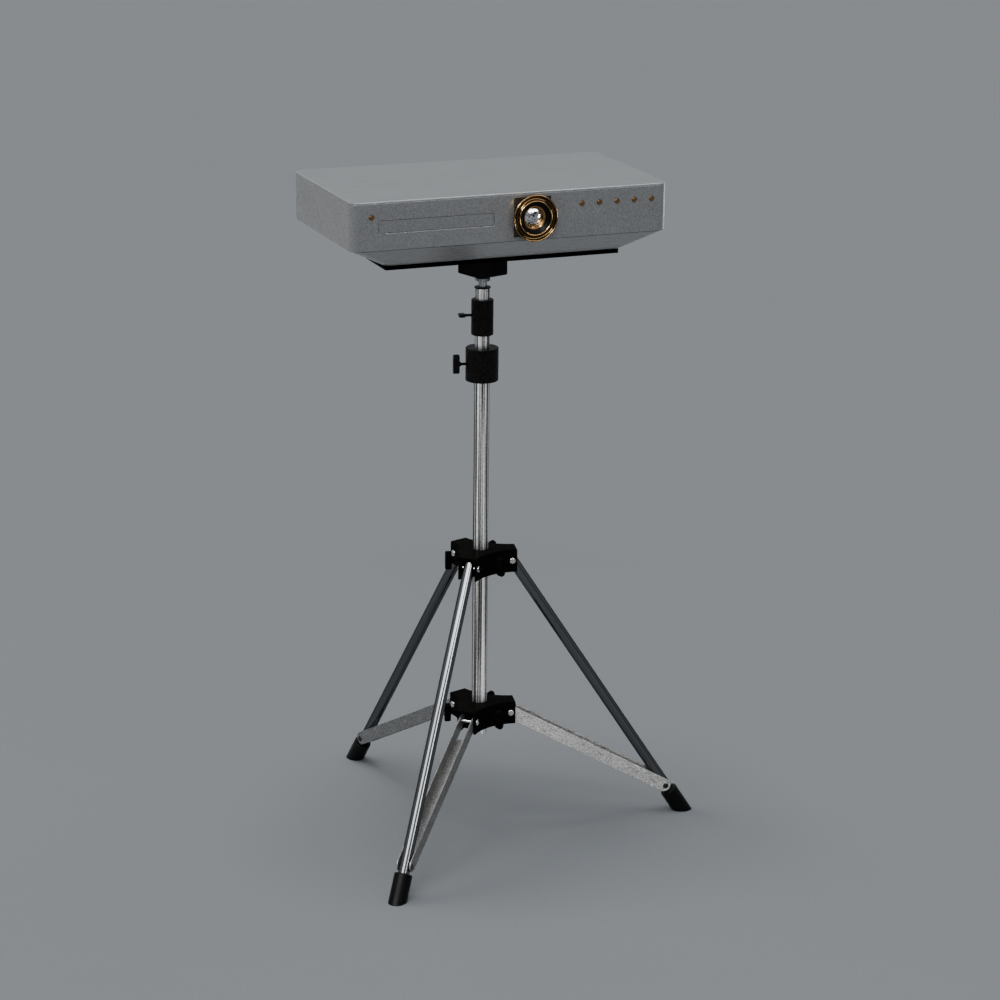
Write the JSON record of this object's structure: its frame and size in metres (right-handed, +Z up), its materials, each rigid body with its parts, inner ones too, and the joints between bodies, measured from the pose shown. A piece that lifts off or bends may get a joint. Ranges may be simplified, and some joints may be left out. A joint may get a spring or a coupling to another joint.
{
  "type": "projector on tripod stand",
  "caption": "Flat silver-grey video projector with a brass-ringed lens, on a black platform atop a telescopic folding tripod stand.",
  "frame": {"origin": "on the floor, on the mast's axis, at the centre of the three feet's stance", "axes": "+Z up along the mast, lens facing -Y, +X to the right as seen from in front of the lens"},
  "size_m": [0.5542, 0.5542, 0.9716],
  "materials": {
    "case_paint": "fine-grained silver-grey paint",
    "lid_paint": "satin silver-grey paint",
    "badge_paint": "satin silver-grey paint, blank",
    "brass": "polished, slightly aged",
    "lens_black": "satin black",
    "bezel_bronze": "dark bronze",
    "lens_glass": "coated, polished",
    "black_metal": "semi-gloss black powder coat",
    "platform_board": "satin black phenolic board",
    "black_plastic": "semi-gloss black moulding",
    "tube_steel": "satin, drawn lengthwise",
    "leg_steel": "bright drawn tube",
    "chrome": "polished",
    "brace_aluminium": "mill finish, lightly pitted",
    "foot_rubber": "satin black",
    "board_green": "solder mask",
    "inner_metal": "cast, matte",
    "socket_black": "fine-grained black",
    "wheel_glass": "dichroic coated"
  },
  "bodies": {
    "leg_collar": {"upper_hub": "black_plastic", "upper_hub_pins": "chrome"},
    "mast": {"main_tube": "tube_steel", "lower_collar": "black_plastic", "lower_hub": "black_plastic", "lower_hub_pins": "chrome"},
    "middle_section": {"middle_tube": "tube_steel", "upper_clamp": "black_plastic"},
    "top_section": {"upper_tube": "tube_steel", "top_bush": "black_plastic"},
    "projector": {"spigot": "chrome", "rear_panel": "case_paint", "head_block": "black_plastic", "platform_plate": "platform_board", "case_screws": "black_metal", "base_tray": "case_paint", "case_shell": "case_paint", "lid": "lid_paint", "badge_panel": "badge_paint", "lens_bezel": "bezel_bronze", "lens_barrel": "lens_black", "lens_retainer": "brass", "lens_glasses": "lens_glass", "button_boards": "board_green", "main_board": "board_green", "power_supply": "board_green", "lamp_module": "inner_metal", "light_engine": "inner_metal", "fan_housing": "black_plastic", "signal_sockets": "socket_black", "power_inlet": "socket_black"},
    "focus": {"focus_ring": "brass"},
    "fan": {"fan_rotor": "black_plastic"},
    "filter_wheel": {"color_wheel": "wheel_glass"},
    "power_key": {"power_button": "brass"},
    "collar_screw": {"collar_knob": "black_plastic"},
    "clamp_screw": {"clamp_knob": "black_plastic"},
    "menu_key_1": {"menu_button_1": "brass"},
    "menu_key_2": {"menu_button_2": "brass"},
    "menu_key_3": {"menu_button_3": "brass"},
    "menu_key_4": {"menu_button_4": "brass"},
    "menu_key_5": {"menu_button_5": "brass"},
    "leg_1": {"leg_1": "leg_steel", "foot_cap_1": "foot_rubber"},
    "brace_1": {"brace_1": "brace_aluminium", "brace_rivets_1": "chrome"},
    "upper_screw_1": {"upper_hub_knob_1": "black_plastic"},
    "lower_screw_1": {"lower_hub_knob_1": "black_plastic"},
    "leg_2": {"leg_2": "leg_steel", "foot_cap_2": "foot_rubber"},
    "brace_2": {"brace_2": "brace_aluminium", "brace_rivets_2": "chrome"},
    "upper_screw_2": {"upper_hub_knob_2": "black_plastic"},
    "lower_screw_2": {"lower_hub_knob_2": "black_plastic"},
    "leg_3": {"leg_3": "leg_steel", "foot_cap_3": "foot_rubber"},
    "brace_3": {"brace_3": "brace_aluminium", "brace_rivets_3": "chrome"},
    "upper_screw_3": {"upper_hub_knob_3": "black_plastic"},
    "lower_screw_3": {"lower_hub_knob_3": "black_plastic"}
  },
  "joints": [
    {"name": "leg_fold", "type": "slide", "parent": "leg_collar", "child": "mast", "axis": [0, 0, 1], "range_m": [0, 0.092]},
    {"name": "middle_extend", "type": "slide", "parent": "mast", "child": "middle_section", "axis": [0, 0, 1], "range_m": [-0.0185, 0.3]},
    {"name": "top_extend", "type": "slide", "parent": "middle_section", "child": "top_section", "axis": [0, 0, 1], "range_m": [-0.0155, 0.25]},
    {"name": "head_pan", "type": "hinge", "parent": "top_section", "child": "projector", "pos_m": [0, 0, 0.818], "axis": [0, 0, 1], "continuous": true},
    {"name": "focus_turn", "type": "hinge", "parent": "projector", "child": "focus", "pos_m": [0.0248, -0.1215, 0.937], "axis": [0, -1, 0], "range_deg": [-60, 60]},
    {"name": "fan_spin", "type": "hinge", "parent": "projector", "child": "fan", "pos_m": [0.215, 0.06, 0.937], "axis": [1, 0, 0], "continuous": true},
    {"name": "filter_spin", "type": "hinge", "parent": "projector", "child": "filter_wheel", "pos_m": [0.06, -0.028, 0.936], "axis": [1, 0, 0], "continuous": true},
    {"name": "power_press", "type": "slide", "parent": "projector", "child": "power_key", "axis": [0, 1, 0], "range_m": [0, 0.0008], "stiffness_N_per_m": 200, "springref_m": -0.0015},
    {"name": "menu_press_1", "type": "slide", "parent": "projector", "child": "menu_key_1", "axis": [0, 1, 0], "range_m": [0, 0.0008], "stiffness_N_per_m": 200, "springref_m": -0.0015},
    {"name": "menu_press_2", "type": "slide", "parent": "projector", "child": "menu_key_2", "axis": [0, 1, 0], "range_m": [0, 0.0008], "stiffness_N_per_m": 200, "springref_m": -0.0015},
    {"name": "menu_press_3", "type": "slide", "parent": "projector", "child": "menu_key_3", "axis": [0, 1, 0], "range_m": [0, 0.0008], "stiffness_N_per_m": 200, "springref_m": -0.0015},
    {"name": "menu_press_4", "type": "slide", "parent": "projector", "child": "menu_key_4", "axis": [0, 1, 0], "range_m": [0, 0.0008], "stiffness_N_per_m": 200, "springref_m": -0.0015},
    {"name": "menu_press_5", "type": "slide", "parent": "projector", "child": "menu_key_5", "axis": [0, 1, 0], "range_m": [0, 0.0008], "stiffness_N_per_m": 200, "springref_m": -0.0015},
    {"name": "collar_screw_turn", "type": "hinge", "parent": "mast", "child": "collar_screw", "pos_m": [-0.02928, 0.00653, 0.703], "axis": [-0.976, 0.2176, 0], "range_deg": [0, 270]},
    {"name": "clamp_screw_turn", "type": "hinge", "parent": "middle_section", "child": "clamp_screw", "pos_m": [-0.02928, 0.00653, 0.774], "axis": [-0.976, 0.2176, 0], "range_deg": [0, 270]},
    {"name": "leg_1_swing", "type": "hinge", "parent": "leg_collar", "child": "leg_1", "pos_m": [0.04392, -0.00979, 0.41], "axis": [0.2176, 0.976, 0], "range_deg": [0, 23.91]},
    {"name": "brace_1_swing", "type": "hinge", "parent": "mast", "child": "brace_1", "pos_m": [0.04392, -0.00979, 0.1741], "axis": [0.2176, 0.976, 0], "range_deg": [0, 47.33]},
    {"name": "upper_screw_1_turn", "type": "hinge", "parent": "leg_collar", "child": "upper_screw_1", "pos_m": [0.0203, 0.02209, 0.41], "axis": [0.6765, 0.7365, 0], "range_deg": [0, 270]},
    {"name": "lower_screw_1_turn", "type": "hinge", "parent": "mast", "child": "lower_screw_1", "pos_m": [0.0203, 0.02209, 0.1741], "axis": [0.6765, 0.7365, 0], "range_deg": [0, 270]},
    {"name": "leg_2_swing", "type": "hinge", "parent": "leg_collar", "child": "leg_2", "pos_m": [-0.03044, -0.03314, 0.41], "axis": [0.7365, -0.6765, 0], "range_deg": [0, 23.91]},
    {"name": "brace_2_swing", "type": "hinge", "parent": "mast", "child": "brace_2", "pos_m": [-0.03044, -0.03314, 0.1741], "axis": [0.7365, -0.6765, 0], "range_deg": [0, 47.33]},
    {"name": "upper_screw_2_turn", "type": "hinge", "parent": "leg_collar", "child": "upper_screw_2", "pos_m": [0.00899, -0.02862, 0.41], "axis": [0.2995, -0.9541, 0], "range_deg": [0, 270]},
    {"name": "lower_screw_2_turn", "type": "hinge", "parent": "mast", "child": "lower_screw_2", "pos_m": [0.00899, -0.02862, 0.1741], "axis": [0.2995, -0.9541, 0], "range_deg": [0, 270]},
    {"name": "leg_3_swing", "type": "hinge", "parent": "leg_collar", "child": "leg_3", "pos_m": [-0.01348, 0.04293, 0.41], "axis": [-0.9541, -0.2995, 0], "range_deg": [0, 23.91]},
    {"name": "brace_3_swing", "type": "hinge", "parent": "mast", "child": "brace_3", "pos_m": [-0.01348, 0.04293, 0.1741], "axis": [-0.9541, -0.2995, 0], "range_deg": [0, 47.33]},
    {"name": "upper_screw_3_turn", "type": "hinge", "parent": "leg_collar", "child": "upper_screw_3", "pos_m": [-0.02928, 0.00653, 0.41], "axis": [-0.976, 0.2176, 0], "range_deg": [0, 270]},
    {"name": "lower_screw_3_turn", "type": "hinge", "parent": "mast", "child": "lower_screw_3", "pos_m": [-0.02928, 0.00653, 0.1741], "axis": [-0.976, 0.2176, 0], "range_deg": [0, 270]}
  ],
  "couplings": [
    {"joint": "leg_1_swing", "follows": "leg_fold", "rad_per_m": 4.5347},
    {"joint": "brace_1_swing", "follows": "leg_fold", "rad_per_m": 8.9772},
    {"joint": "leg_2_swing", "follows": "leg_fold", "rad_per_m": 4.5347},
    {"joint": "brace_2_swing", "follows": "leg_fold", "rad_per_m": 8.9772},
    {"joint": "leg_3_swing", "follows": "leg_fold", "rad_per_m": 4.5347},
    {"joint": "brace_3_swing", "follows": "leg_fold", "rad_per_m": 8.9772}
  ]
}
